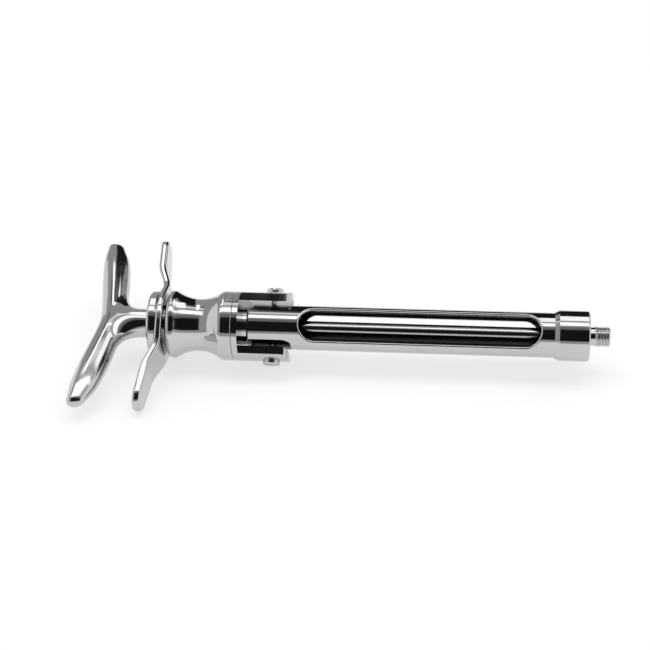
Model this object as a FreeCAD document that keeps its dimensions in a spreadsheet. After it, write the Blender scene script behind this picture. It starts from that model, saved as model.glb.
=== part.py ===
"""Aspirating dental syringe, breech-loading type, in chromed metal.

The long axis lies along X. The needle end points to +X, and the origin is the centre of the
needle adaptor's front face. +Z is up, with the syringe lying on its side.
Lengths along the axis are held as distances behind the origin. Each turned piece is drawn in a
frame of its own, which starts at the piece's rear face, and is then moved into place.
"""
import FreeCAD, Part
import math
import os
import Sketcher

V = FreeCAD.Vector
doc = FreeCAD.newDocument("AspiratingSyringe")
sheet = doc.addObject("Spreadsheet::Sheet", "Sizes")
_row = [1]


class Dim:
    """A size together with its expression over the sheet, so that a sketch gets both at once."""

    def __init__(self, value, text):
        self.value, self.text = float(value), text

    @staticmethod
    def of(other):
        return other if isinstance(other, Dim) else Dim(other, "%.6g" % other)

    def _with(self, other, sign, swap=False):
        a, b = (Dim.of(other), self) if swap else (self, Dim.of(other))
        value = {"+": lambda: a.value + b.value, "-": lambda: a.value - b.value,
                 "*": lambda: a.value * b.value, "/": lambda: a.value / b.value}[sign]()
        return Dim(value, "(%s %s %s)" % (a.text, sign, b.text))

    def __add__(self, other):
        return self._with(other, "+")

    def __radd__(self, other):
        return self._with(other, "+", True)

    def __sub__(self, other):
        return self._with(other, "-")

    def __rsub__(self, other):
        return self._with(other, "-", True)

    def __mul__(self, other):
        return self._with(other, "*")

    def __rmul__(self, other):
        return self._with(other, "*", True)

    def __truediv__(self, other):
        return self._with(other, "/")

    def __neg__(self):
        return Dim(-self.value, "(-1 * %s)" % self.text)


def size(alias, value, note):
    """Put one driving size in the sheet and hand back its Dim."""
    _row[0] += 1
    row = _row[0]
    sheet.set("A%d" % row, note)
    sheet.set("B%d" % row, "%g" % value)
    sheet.setAlias("B%d" % row, alias)
    return Dim(value, "Sizes." + alias)


sheet.set("A1", "Driving sizes, mm and degrees")

# --- shared fits ---
running = size("running_gap", 0.05, "radial gap of a sliding fit")
face_gap = size("face_gap", 0.1, "gap between faces that come together when a piece slides home")

# --- needle adaptor ---
thread_len = size("thread_length", 3.95, "threaded length at the front")
thread_rad = size("thread_radius", 2.75, "radius over the thread")
undercut_len = size("undercut_length", 1.43, "undercut behind the thread")
undercut_rad = size("undercut_radius", 2.45, "radius of the undercut")
shank_len = size("shank_length", 1.8, "shank of the adaptor in the cap's front wall")
shank_rad = size("shank_radius", 2.2, "radius of that shank")
passage_rad = size("passage_radius", 1.0, "needle passage through the adaptor")
cap_face = thread_len + undercut_len

# --- front cap ---
cap_rad = size("cap_radius", 6.73, "outer radius of the cap")
cap_len = size("cap_length", 7.92, "straight length of the cap")
cap_slope = size("cap_slope_length", 1.2, "tapered rear edge of the cap")
cap_rear_rad = size("cap_rear_radius", 6.2, "radius at the cap's rear edge")
cap_wall = size("cap_wall_depth", 3.62, "front wall of the cap in all")
nose_rad = size("nose_recess_radius", 3.9, "recess for the cartridge's metal cap")
cap_edge = size("cap_edge", 0.5, "rounding of the cap's front edge")
cap_rear = cap_face + cap_len + cap_slope

# --- barrel ---
barrel_rad = size("barrel_radius", 6.0, "outer radius of the barrel")
bore_rad = size("bore_radius", 4.7, "bore, which takes a 1.8 ml cartridge of about 8.65 mm")
barrel_rear = size("barrel_rear", 96.1, "barrel's rear face behind the origin")
barrel_edge = size("barrel_edge", 0.5, "rear edge, cut back so that the barrel clears the yoke")
barrel_front = cap_face + cap_wall
window_front = size("window_front", 18.05, "front end of the window, inside its rounded rim")
window_rear = size("window_rear", 82.15, "rear end of the window, inside its rounded rim")
window_half = size("window_half_width", 4.05, "half width of the window")
window_round = size("window_rim", 0.45, "rounding of the window's outer rim")
barrel_turn = size("barrel_turn", 43, "turn of the barrel and yoke about the axis, degrees")

# --- yoke and pivot screws ---
yoke_rear = size("yoke_rear", 99.6, "yoke's rear face behind the origin")
yoke_base = size("yoke_base", 1.5, "thickness of the yoke's base ring")
yoke_rad = size("yoke_radius", 9.4, "outer radius of the yoke")
arm_inner = size("arm_inner_radius", 7.6, "inner radius of the arms")
arm_len = size("arm_length", 13.5, "arms forward of the base ring")
arm_half = size("arm_half_width", 4.4, "half width of an arm")
arm_corner = size("arm_corner", 2.4, "rounding of an arm's front corners")
pivot_back = size("pivot_back", 89.5, "pivot axis behind the origin")
pin_rad = size("pin_radius", 0.9, "shank of a pivot screw")
pin_tip = size("pin_tip", 4.85, "inner end of a pivot screw from the axis")
head_rad = size("head_radius", 2.3, "head of a pivot screw")
head_seat = size("head_seat", 9.0, "flat seat of the screw's head, from the axis")
head_top = size("head_top", 10.4, "top of the screw's head, from the axis")
head_round = size("head_round", 0.45, "rounding of the screw's head")
slot_wide = size("slot_width", 0.55, "width of the driver slot")
slot_deep = size("slot_depth", 0.6, "depth of the driver slot")

# --- spool body ---
spool_len = size("spool_length", 18.2, "length of the waisted body")
spool_front = size("spool_front_land", 2.3, "straight land at the front")
spool_waist = size("spool_waist_radius", 7.1, "radius at the waist")
spool_curve = size("spool_curve", 10.0, "radius of the waist's hollow curve")
waist_back = size("waist_back", 109.6, "waist behind the origin")
spool_blend = size("spool_blend", 3.2, "curve between the front land and the waist")
spool_rim = size("spool_rim_radius", 9.2, "radius of the rear rim")
spool_bore = size("spool_bore", 6.4, "inside radius, over the lock spring")
spool_wall = size("spool_wall", 1.5, "rear wall of the body")

# --- lock sleeve, its spring and its bush ---
sleeve_rad = size("sleeve_radius", 5.1, "neck and tail of the lock sleeve")
sleeve_rear = size("sleeve_rear", 122.8, "sleeve's rear face behind the origin")
lock_rad = size("lock_nose_radius", 4.65, "nose that enters the barrel's bore")
lock_len = size("lock_nose_length", 2.0, "how far the nose enters the barrel")
flange_rad = size("flange_radius", 6.2, "flange that the spring pushes")
flange_len = size("flange_length", 2.5, "thickness of the flange")
bush_rad = size("bush_seat_radius", 3.2, "bore of the sleeve, and the bush's outer radius")
bush_front = size("bush_front", 101.5, "front of the guide bush behind the origin")
bush_len = size("bush_length", 10.0, "length of the guide bush")
socket_rad = size("socket_radius", 4.2, "wide bore at the sleeve's rear, for the handle's neck")
socket_front = size("socket_front", 112.0, "front of that bore behind the origin")
wire_rad = size("wire_radius", 0.33, "spring wire radius")
coil_rad = size("coil_radius", 5.78, "mean radius of the spring")
coil_turns = size("coil_turns", 5.5, "turns of the spring")

# --- finger grip and rear nut ---
grip_front = size("grip_front", 118.4, "front face of the finger grip behind the origin")
grip_thick = size("grip_thickness", 1.8, "thickness of the plate")
hub_rad = size("hub_radius", 9.2, "round middle of the finger grip")
wing_reach = size("wing_reach", 27.8, "wing tip from the axis")
wing_sweep = size("wing_sweep_radius", 92.0, "radius that sweeps the wings back")
wing_root = size("wing_root_half_width", 6.2, "half width where a wing leaves the hub")
wing_end = size("wing_end_half_width", 3.9, "half width and rounding of a wing's tip")
wing_side = size("wing_side_curve", 120.0, "hollow curve of a wing's sides")
wing_edge = size("wing_edge", 0.55, "rounding of the plate's edges")
grip_turn = size("grip_turn", 19.0, "turn of the finger grip about the axis, degrees")
nut_rad = size("nut_radius", 8.9, "rear nut")
nut_relief = size("nut_relief", 0.45, "relief between the nut and the plate")
nut_relief_rad = size("nut_relief_radius", 7.9, "radius of that relief")
nut_round = size("nut_round", 0.8, "rounding of the nut's rear edge")

# --- plunger ---
rod_rad = size("rod_radius", 1.9, "plunger rod")
rod_rear = size("rod_rear", 128.0, "rear end of the rod behind the origin")
ram_rad = size("ram_radius", 2.9, "head of the rod")
ram_front = size("ram_front", 15.2, "front face of the rod's head behind the origin")
ram_len = size("ram_length", 2.0, "length of the rod's head")
tip_front = size("harpoon_front", 10.5, "harpoon's point behind the origin")
tip_rad = size("harpoon_radius", 0.8, "harpoon's shank")
barb_rad = size("barb_radius", 1.4, "harpoon's barbs")
tang_rad = size("tang_radius", 0.6, "harpoon's tang in the rod's head")
tang_len = size("tang_length", 1.5, "length of that tang")

# --- thumb bar ---
neck_rad = size("neck_radius", 4.0, "neck of the thumb bar")
neck_front = size("neck_front", 121.3, "front of the neck behind the origin")
bar_back = size("bar_back", 133.6, "bar's middle behind the origin")
bar_reach = size("bar_reach", 30.6, "bar's tip from the axis")
bar_sweep = size("bar_sweep", 5.7, "how far the tips sweep back")
bar_mid_rad = size("bar_middle_radius", 3.5, "bar at the middle")
bar_tip_rad = size("bar_tip_radius", 1.75, "bar at the tips")
bar_turn = size("bar_turn", 12.0, "turn of the thumb bar about the axis, degrees")

doc.recompute()


def plane_of(body, role):
    return [f for f in body.Origin.OriginFeatures if f.Role == role][0]


def new_body(node):
    body = doc.addObject("PartDesign::Body", node)
    body.Label = node
    return body


def put(body, back, turn=None, flip=False):
    """Place a body so that its own zero is `back` behind the origin, turned about X."""
    angle = (turn.value if turn else 0.0) + (180.0 if flip else 0.0)
    body.Placement = FreeCAD.Placement(V(-back.value, 0, 0), FreeCAD.Rotation(V(1, 0, 0), angle))
    body.setExpression(".Placement.Base.x", "-1 * %s" % back.text)
    if turn:
        extra = " + 180" if flip else ""
        body.setExpression(".Placement.Rotation.Angle", "(%s%s) * 1 deg" % (turn.text, extra))


def new_sketch(body, name, role="XY_Plane", offset=None):
    sketch = body.newObject("Sketcher::SketchObject", name)
    sketch.AttachmentSupport = [(plane_of(body, role), "")]
    sketch.MapMode = "FlatFace"
    if offset is not None:
        sketch.AttachmentOffset = FreeCAD.Placement(V(0, 0, offset.value), FreeCAD.Rotation())
        sketch.setExpression(".AttachmentOffset.Base.z", offset.text)
    return sketch


def tie(sketch, kind, geo, pos, length):
    """Hold one coordinate of a sketch point, bound to the sheet."""
    length = Dim.of(length)
    if abs(length.value) < 1e-9:
        axis = -2 if kind == "DistanceX" else -1
        sketch.addConstraint(Sketcher.Constraint("PointOnObject", geo, pos, axis))
        return
    if length.value > 0:
        mark = sketch.addConstraint(Sketcher.Constraint(kind, -1, 1, geo, pos, length.value))
        text = length.text
    else:
        mark = sketch.addConstraint(Sketcher.Constraint(kind, geo, pos, -1, 1, -length.value))
        text = "-1 * %s" % length.text
    if "Sizes" in text:
        sketch.setExpression("Constraints[%d]" % mark, text)


def outline(sketch, points):
    """Draw a closed outline. A point is (u, v) or (u, v, radius): the radius bends the side that
    starts there, to the left of the way along it when positive and to the right when negative."""
    count, ends = len(points), []
    for i, point in enumerate(points):
        here = [Dim.of(c) for c in point[:2]]
        there = [Dim.of(c) for c in points[(i + 1) % count][:2]]
        p = V(here[0].value, here[1].value, 0)
        q = V(there[0].value, there[1].value, 0)
        if len(point) < 3:
            geo = sketch.addGeometry(Part.LineSegment(p, q), False)
            ends.append((geo, 1, geo, 2))
            continue
        bend = point[2]
        left = bend.value > 0
        rad = abs(bend.value)
        chord = q - p
        rise = math.sqrt(max(rad ** 2 - chord.Length ** 2 / 4.0, 0.0))
        normal = V(-chord.y, chord.x, 0) / chord.Length
        centre = (p + q) / 2 + normal * (rise if left else -rise)
        first, last = (p, q) if left else (q, p)
        a = math.atan2(first.y - centre.y, first.x - centre.x)
        b = math.atan2(last.y - centre.y, last.x - centre.x)
        while b < a:
            b += 2 * math.pi
        geo = sketch.addGeometry(Part.ArcOfCircle(Part.Circle(centre, V(0, 0, 1), rad), a, b), False)
        ends.append((geo, 1, geo, 2) if left else (geo, 2, geo, 1))
        mark = sketch.addConstraint(Sketcher.Constraint("Radius", geo, rad))
        sketch.setExpression("Constraints[%d]" % mark, bend.text if left else "-1 * %s" % bend.text)
    for i in range(count):
        nxt = ends[(i + 1) % count]
        sketch.addConstraint(Sketcher.Constraint("Coincident", ends[i][2], ends[i][3], nxt[0], nxt[1]))
    for i, point in enumerate(points):
        tie(sketch, "DistanceX", ends[i][0], ends[i][1], point[0])
        tie(sketch, "DistanceY", ends[i][0], ends[i][1], point[1])


def ring(sketch, u, v, radius):
    """Draw one full circle, its middle and radius bound to the sheet."""
    u, v = Dim.of(u), Dim.of(v)
    geo = sketch.addGeometry(Part.Circle(V(u.value, v.value, 0), V(0, 0, 1), radius.value), False)
    tie(sketch, "DistanceX", geo, 3, u)
    tie(sketch, "DistanceY", geo, 3, v)
    mark = sketch.addConstraint(Sketcher.Constraint("Radius", geo, radius.value))
    sketch.setExpression("Constraints[%d]" % mark, radius.text)


def oval(sketch, wide, slim):
    """Draw one ellipse about the sketch's origin, `wide` along u and `slim` along v."""
    shape = Part.Ellipse(V(wide.value, 0, 0), V(0, slim.value, 0), V(0, 0, 0))
    geo = sketch.addGeometry(shape, False)
    sketch.exposeInternalGeometry(geo)
    sketch.addConstraint(Sketcher.Constraint("Coincident", geo, 3, -1, 1))
    sketch.addConstraint(Sketcher.Constraint("Horizontal", geo + 1))
    for line, length in ((geo + 1, wide * 2), (geo + 2, slim * 2)):
        mark = sketch.addConstraint(Sketcher.Constraint("Distance", line, length.value))
        sketch.setExpression("Constraints[%d]" % mark, length.text)


def revolve(body, name, points, axis="H_Axis"):
    sketch = new_sketch(body, name + "_profile")
    outline(sketch, points)
    feature = body.newObject("PartDesign::Revolution", name)
    feature.Profile = sketch
    feature.ReferenceAxis = (sketch, [axis])
    feature.Angle = 360.0
    sketch.Visibility = False
    doc.recompute()
    return feature


def turned(node, rear, points, turn=None):
    """A piece turned about X, from points given as (distance behind the origin, radius)."""
    body = new_body(node)
    revolve(body, node + "_turned", [(rear - p[0],) + tuple(p[1:]) for p in points])
    put(body, rear, turn)
    return body


def both_ways(feature):
    """Make a pad or pocket run evenly to both sides of its sketch."""
    if "SideType" in feature.PropertiesList:
        feature.SideType = "Symmetric"
    else:
        feature.Midplane = True


def pocket(body, sketch, name, depth=None, reverse=False):
    """Cut a pocket: right through and both ways, or to a depth on one side. It must cut."""
    before = body.Tip.Shape.Volume
    feature = body.newObject("PartDesign::Pocket", name)
    feature.Profile = sketch
    if depth is None:
        feature.Type = "ThroughAll"
        both_ways(feature)
    else:
        feature.Type = "Length"
        feature.Length = depth.value
        feature.setExpression("Length", depth.text)
        feature.Reversed = reverse
    sketch.Visibility = False
    doc.recompute()
    if not feature.Shape.Volume < before - 1e-4:
        raise RuntimeError("%s cuts nothing" % name)
    return feature


def soften(body, name, radius, choose):
    """Round the edges of the body's tip that `choose` accepts."""
    tip = body.Tip
    names = ["Edge%d" % (i + 1) for i, edge in enumerate(tip.Shape.Edges) if choose(edge)]
    if not names:
        raise RuntimeError("%s finds no edge" % name)
    feature = body.newObject("PartDesign::Fillet", name)
    feature.Base = (tip, names)
    feature.Radius = radius.value
    feature.setExpression("Radius", radius.text)
    doc.recompute()
    return feature


def middle(edge):
    return edge.valueAt((edge.FirstParameter + edge.LastParameter) / 2)


# ---------------------------------------------------------------- needle adaptor and front cap
shank_back = cap_face + shank_len
turned("needle_adaptor", shank_back, [
    (shank_back, passage_rad), (shank_back, shank_rad), (cap_face, shank_rad),
    (cap_face, undercut_rad), (thread_len, undercut_rad), (thread_len, thread_rad),
    (0, thread_rad), (0, passage_rad)])

turned("front_cap", cap_rear, [
    (cap_rear, barrel_rad), (cap_rear, cap_rear_rad), (cap_face + cap_len, cap_rad),
    (cap_face + cap_edge, cap_rad, -cap_edge), (cap_face, cap_rad - cap_edge), (cap_face, shank_rad),
    (shank_back, shank_rad), (shank_back, nose_rad), (barrel_front, nose_rad),
    (barrel_front, barrel_rad)])

# ---------------------------------------------------------------- barrel with its two windows
barrel = turned("barrel_tube", barrel_rear, [
    (barrel_rear, bore_rad), (barrel_rear, barrel_rad - barrel_edge),
    (barrel_rear - barrel_edge, barrel_rad), (barrel_front, barrel_rad),
    (barrel_front, bore_rad)], barrel_turn)
slot = new_sketch(barrel, "window_outline")
x_near = barrel_rear - window_rear + window_half
x_far = barrel_rear - window_front - window_half
outline(slot, [(x_near, -window_half), (x_far, -window_half, window_half * 1.0000001),
               (x_far, window_half), (x_near, window_half, window_half * 1.0000001)])
pocket(barrel, slot, "windows")


def on_window_rim(edge):
    """The outer rim of a window lies on the barrel's outside, off the two ends."""
    p = middle(edge)
    ends = barrel_rear.value - barrel_front.value
    return (abs(math.hypot(p.y, p.z) - barrel_rad.value) < 1e-3 and 5 < p.x < ends - 5
            and abs(p.y) < window_half.value + 1e-3)


soften(barrel, "window_rims", window_round, on_window_rim)
pins = new_sketch(barrel, "pivot_holes", "XZ_Plane")
ring(pins, barrel_rear - pivot_back, 0, pin_rad)
pocket(barrel, pins, "pivot_bores")

# ---------------------------------------------------------------- yoke with its two arms
neck_hole = sleeve_rad + running
base_front = yoke_rear - yoke_base
arm_front = base_front - arm_len
yoke = turned("yoke", yoke_rear, [
    (yoke_rear, neck_hole), (yoke_rear, yoke_rad), (arm_front, yoke_rad),
    (arm_front, arm_inner), (base_front, arm_inner), (base_front, neck_hole)], barrel_turn)
beyond = yoke_base + arm_len + 1
for side, name in ((1, "upper"), (-1, "lower")):
    gap = new_sketch(yoke, "arm_gap_" + name, "XZ_Plane")
    far = yoke_rad + 1
    outline(gap, [(yoke_base, arm_half * side), (yoke_base, far * side), (beyond, far * side),
                  (beyond, arm_half * side)])
    pocket(yoke, gap, "arm_gap_cut_" + name)


def on_arm_corner(edge):
    p = middle(edge)
    return (abs(p.x - (yoke_base.value + arm_len.value)) < 1e-3
            and abs(abs(p.z) - arm_half.value) < 1e-3)


soften(yoke, "arm_corners", arm_corner, on_arm_corner)
holes = new_sketch(yoke, "screw_holes", "XZ_Plane")
ring(holes, yoke_rear - pivot_back, 0, pin_rad)
pocket(yoke, holes, "screw_bores")
seat_rad = head_rad + running
for side, name in ((1, "left"), (-1, "right")):
    seat = new_sketch(yoke, "seat_" + name, "XZ_Plane", head_seat * -side)
    ring(seat, yoke_rear - pivot_back, 0, seat_rad)
    pocket(yoke, seat, "seat_cut_" + name, yoke_rad - head_seat + 1, side < 0)

# ---------------------------------------------------------------- pivot screws
for node, flip in (("pivot_screw_left", False), ("pivot_screw_right", True)):
    screw = new_body(node)
    revolve(screw, node + "_turned", [
        (0, pin_tip), (pin_rad, pin_tip), (pin_rad, head_seat), (head_rad, head_seat),
        (head_rad, head_top - head_round, head_round), (head_rad - head_round, head_top),
        (0, head_top)], "V_Axis")
    driver = new_sketch(screw, node + "_slot", "YZ_Plane" if flip else "XY_Plane")
    low, high, half = head_top - slot_deep, head_top + 1, slot_wide / 2
    if flip:
        outline(driver, [(low, -half), (high, -half), (high, half), (low, half)])
    else:
        outline(driver, [(-half, low), (half, low), (half, high), (-half, high)])
    pocket(screw, driver, node + "_slot_cut")
    put(screw, pivot_back, barrel_turn, flip)

# ---------------------------------------------------------------- waisted body
spool_rear = yoke_rear + spool_len
wall_front = spool_rear - spool_wall
curve_middle = spool_waist + spool_curve
front_join = size("front_join", 104.3, "where the waist's curve begins, behind the origin")
rear_join = size("rear_join", 115.2, "where the waist's curve ends, behind the origin")


def waist_at(back):
    """Radius of the waist's hollow curve, and its expression, at a distance behind the origin."""
    away = back - waist_back
    value = curve_middle.value - math.sqrt(spool_curve.value ** 2 - away.value ** 2)
    return Dim(value, "(%s - sqrt(%s ^ 2 - %s ^ 2))" % (curve_middle.text, spool_curve.text, away.text))


rim_round = size("rim_round", 1.3, "rounding of the rear rim")
rim_blend = size("rim_blend", 2.0, "curve between the waist and the rear rim")
land_edge = size("land_edge", 0.3, "edge of the front land")
land_back = yoke_rear + spool_front
turned("spool_body", spool_rear, [
    (spool_rear, neck_hole), (spool_rear, spool_rim - rim_round, -rim_round),
    (spool_rear - rim_round, spool_rim, -rim_blend), (rear_join, waist_at(rear_join), spool_curve),
    (front_join, waist_at(front_join), -spool_blend), (land_back, yoke_rad),
    (yoke_rear + land_edge, yoke_rad), (yoke_rear, yoke_rad - land_edge), (yoke_rear, spool_bore),
    (wall_front, spool_bore), (wall_front, neck_hole)])

# ---------------------------------------------------------------- lock sleeve, spring and bush
neck_face = barrel_rear + face_gap
nose_tip = barrel_rear - lock_len
flange_front = yoke_rear + face_gap
flange_rear = flange_front + flange_len
nose_edge = size("nose_edge", 0.3, "lead-in of the lock nose")
turned("lock_sleeve", sleeve_rear, [
    (sleeve_rear, socket_rad), (sleeve_rear, sleeve_rad), (flange_rear, sleeve_rad),
    (flange_rear, flange_rad), (flange_front, flange_rad), (flange_front, sleeve_rad),
    (neck_face, sleeve_rad), (neck_face, lock_rad), (nose_tip + nose_edge, lock_rad),
    (nose_tip, lock_rad - nose_edge), (nose_tip, bush_rad), (socket_front, bush_rad),
    (socket_front, socket_rad)])
bush_rear = bush_front + bush_len
turned("guide_bush", bush_rear, [
    (bush_rear, rod_rad + running), (bush_rear, bush_rad), (bush_front, bush_rad),
    (bush_front, rod_rad + running)])

spring = new_body("lock_spring")
span = wall_front - flange_rear
wire = new_sketch(spring, "wire_section")
ring(wire, wire_rad, coil_rad, wire_rad)
coil = spring.newObject("PartDesign::AdditiveHelix", "coil_wire")
coil.Profile = wire
coil.ReferenceAxis = (wire, ["H_Axis"])
coil.Mode = 1
rise = span - wire_rad * 2
coil.Pitch = (rise / coil_turns).value
coil.Height = rise.value
coil.setExpression("Pitch", (rise / coil_turns).text)
coil.setExpression("Height", rise.text)
wire.Visibility = False
doc.recompute()
put(spring, wall_front)

# ---------------------------------------------------------------- finger grip and rear nut
grip = new_body("finger_grip")
grip_rear = grip_front + grip_thick
reach_out = wing_reach + 1
sweep = Dim(wing_sweep.value - math.sqrt(wing_sweep.value ** 2 - (reach_out - hub_rad).value ** 2),
            "(%s - sqrt(%s ^ 2 - %s ^ 2))" % (wing_sweep.text, wing_sweep.text,
                                              (reach_out - hub_rad).text))
side_view = new_sketch(grip, "plate_side")
outline(side_view, [
    (0, -hub_rad), (0, hub_rad, wing_sweep), (-sweep, reach_out),
    (grip_thick - sweep, reach_out, -wing_sweep), (grip_thick, hub_rad),
    (grip_thick, -hub_rad, -wing_sweep), (grip_thick - sweep, -reach_out),
    (-sweep, -reach_out, wing_sweep)])
plate = grip.newObject("PartDesign::Pad", "plate")
plate.Profile = side_view
plate.Length = 24
both_ways(plate)
plate.setExpression("Length", ((hub_rad + 2) * 2).text)
side_view.Visibility = False
doc.recompute()
hub_at = Dim(math.sqrt(hub_rad.value ** 2 - wing_root.value ** 2),
             "sqrt(%s ^ 2 - %s ^ 2)" % (hub_rad.text, wing_root.text))
end_at = wing_reach - wing_end
edge_of = hub_rad + 3
past = reach_out + 2
trim = new_sketch(grip, "plate_outline", "YZ_Plane")
outline(trim, [(-past, -edge_of), (past, -edge_of), (past, edge_of), (-past, edge_of)])
outline(trim, [
    (hub_at, wing_root, hub_rad), (-hub_at, wing_root, -wing_side), (-end_at, wing_end, wing_end),
    (-wing_reach, 0, wing_end), (-end_at, -wing_end, -wing_side), (-hub_at, -wing_root, hub_rad),
    (hub_at, -wing_root, -wing_side), (end_at, -wing_end, wing_end), (wing_reach, 0, wing_end),
    (end_at, wing_end, -wing_side)])
pocket(grip, trim, "plate_trim")


def runs_through(edge):
    """True for an edge that runs straight through the plate."""
    a, b = edge.valueAt(edge.FirstParameter), edge.valueAt(edge.LastParameter)
    return abs(a.y - b.y) < 1e-3 and abs(a.z - b.z) < 1e-3


def on_plate_edge(edge):
    """Front and rear edges of the plate's outline, leaving out the seams where the sweep starts."""
    return not runs_through(edge) and abs(abs(middle(edge).y) - hub_rad.value) > 1e-3


wing_blend = size("wing_blend", 3.0, "blend between a wing's sides, the hub and the tip")
soften(grip, "wing_blends", wing_blend, runs_through)
soften(grip, "plate_edges", wing_edge, on_plate_edge)
middle_hole = new_sketch(grip, "hub_hole", "YZ_Plane")
ring(middle_hole, 0, 0, sleeve_rad)
pocket(grip, middle_hole, "hub_bore")
put(grip, grip_rear, grip_turn)

turned("rear_nut", sleeve_rear, [
    (sleeve_rear, sleeve_rad), (sleeve_rear, nut_rad - nut_round, -nut_round),
    (sleeve_rear - nut_round, nut_rad), (grip_rear + nut_relief, nut_rad),
    (grip_rear + nut_relief, nut_relief_rad), (grip_rear, nut_relief_rad), (grip_rear, sleeve_rad)])

# ---------------------------------------------------------------- plunger rod and harpoon
ram_rear = ram_front + ram_len
tang_back = ram_front + tang_len
ram_round = size("ram_round", 0.4, "rounding of the rod's head")
turned("plunger_rod", rod_rear, [
    (rod_rear, 0), (rod_rear, rod_rad), (ram_rear, rod_rad), (ram_rear, ram_rad),
    (ram_front + ram_round, ram_rad, -ram_round), (ram_front, ram_rad - ram_round),
    (ram_front, tang_rad), (tang_back, tang_rad), (tang_back, 0)])
barb_len = size("barb_length", 1.5, "length of one barb")
point_rad = size("point_radius", 0.12, "blunt end of the harpoon's point")
barb_back = tip_front + barb_len * 1.8
turned("harpoon", tang_back, [
    (tang_back, 0), (tang_back, tang_rad), (ram_front, tang_rad), (ram_front, tip_rad),
    (barb_back + barb_len, tip_rad), (barb_back + barb_len, barb_rad), (barb_back, tip_rad),
    (barb_back, barb_rad), (tip_front, point_rad), (tip_front, 0)])

# ---------------------------------------------------------------- thumb bar
bar = new_body("t_handle")
bar_end = bar_reach - bar_tip_rad
bar_start = size("bar_overlap", 0.8, "how far each arm runs past the middle")
bar_bulge = size("bar_side_curve", 130.0, "full curve of an arm's sides")
for side, name in ((1, "left"), (-1, "right")):
    lean = math.degrees(math.atan(bar_sweep.value / bar_end.value))
    arm = new_sketch(bar, "arm_" + name)
    angle = 90 + lean if side > 0 else 270 - lean
    arm.AttachmentOffset = FreeCAD.Placement(V(), FreeCAD.Rotation(V(0, 0, 1), angle))
    arm.setExpression(".AttachmentOffset.Rotation.Angle", "%s atan(%s / %s)" % (
        "90 deg +" if side > 0 else "270 deg -", bar_sweep.text, bar_end.text))
    outline(arm, [(-bar_start, 0), (bar_end + bar_tip_rad, 0, bar_tip_rad),
                  (bar_end, bar_tip_rad, bar_bulge), (-bar_start, bar_mid_rad)])
    spin = bar.newObject("PartDesign::Revolution", "arm_turned_" + name)
    spin.Profile = arm
    spin.ReferenceAxis = (arm, ["H_Axis"])
    spin.Angle = 360.0
    arm.Visibility = False
    doc.recompute()
neck_len = bar_back - neck_front
neck_edge = size("neck_edge", 0.4, "bevel at the neck's front")
flare_top = size("flare_start", 8.0, "where the neck starts to widen, ahead of the bar's middle")
flare_wide = size("flare_width", 8.6, "half width of the widened foot, along the bar")
flare_slim = size("flare_depth", 2.9, "half depth of the widened foot, across the bar")
flare_low = size("flare_end", 2.3, "where the widened foot sinks into the bar")
revolve(bar, "neck", [
    (flare_top, 0), (neck_len, 0), (neck_len, neck_rad - neck_edge),
    (neck_len - neck_edge, neck_rad), (flare_top, neck_rad)])
flare = []
for step in (0, 1, 2, 3, 4, 5):
    share = step / 5.0
    level = flare_top - (flare_top - flare_low) * (1 - (1 - share) ** 1.7)
    cut = new_sketch(bar, "flare_%d" % step, "YZ_Plane", level)
    if step == 0:
        ring(cut, 0, 0, neck_rad)
    else:
        wide = neck_rad + (flare_wide - neck_rad) * share ** 2.4
        slim = neck_rad - (neck_rad - flare_slim) * share ** 2
        oval(cut, wide, slim)
    cut.Visibility = False
    flare.append(cut)
doc.recompute()
foot = bar.newObject("PartDesign::AdditiveLoft", "neck_flare")
foot.Profile = flare[0]
foot.Sections = flare[1:]
doc.recompute()
rod_hole = new_sketch(bar, "rod_hole", "YZ_Plane", neck_len)
ring(rod_hole, 0, 0, rod_rad + running)
pocket(bar, rod_hole, "rod_bore", rod_rear + face_gap - neck_front)
put(bar, bar_back, bar_turn)

# ---------------------------------------------------------------- checks and files
doc.recompute()
nodes = [o for o in doc.Objects if o.TypeId == "PartDesign::Body"]
for item in doc.Objects:
    if "Invalid" in item.State or "Error" in item.State:
        raise RuntimeError("%s failed: %s" % (item.Name, item.State))
os.makedirs("parts", exist_ok=True)
for body in nodes:
    shape = body.Shape
    if shape.isNull() or not shape.isValid() or len(shape.Solids) != 1:
        raise RuntimeError("%s is not one valid solid" % body.Label)
    print("%-18s %9.2f mm3" % (body.Label, shape.Volume))
    shape.exportStep("parts/%s.step" % body.Label)
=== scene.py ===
"""Looks for an aspirating dental syringe in polished chrome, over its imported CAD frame.

Every length is in metres. The long axis lies along X with the needle end at +X, and the origin is
at the centre of the needle adaptor's front face. The CAD nodes keep their shapes and get metals.
The thumb bar, the finger grip and the needle adaptor are finished here as smooth surfaces, and a
strip narrows the barrel's rear window.
"""

import math

import bpy
import numpy as np
from mathutils import Matrix, Vector


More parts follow.
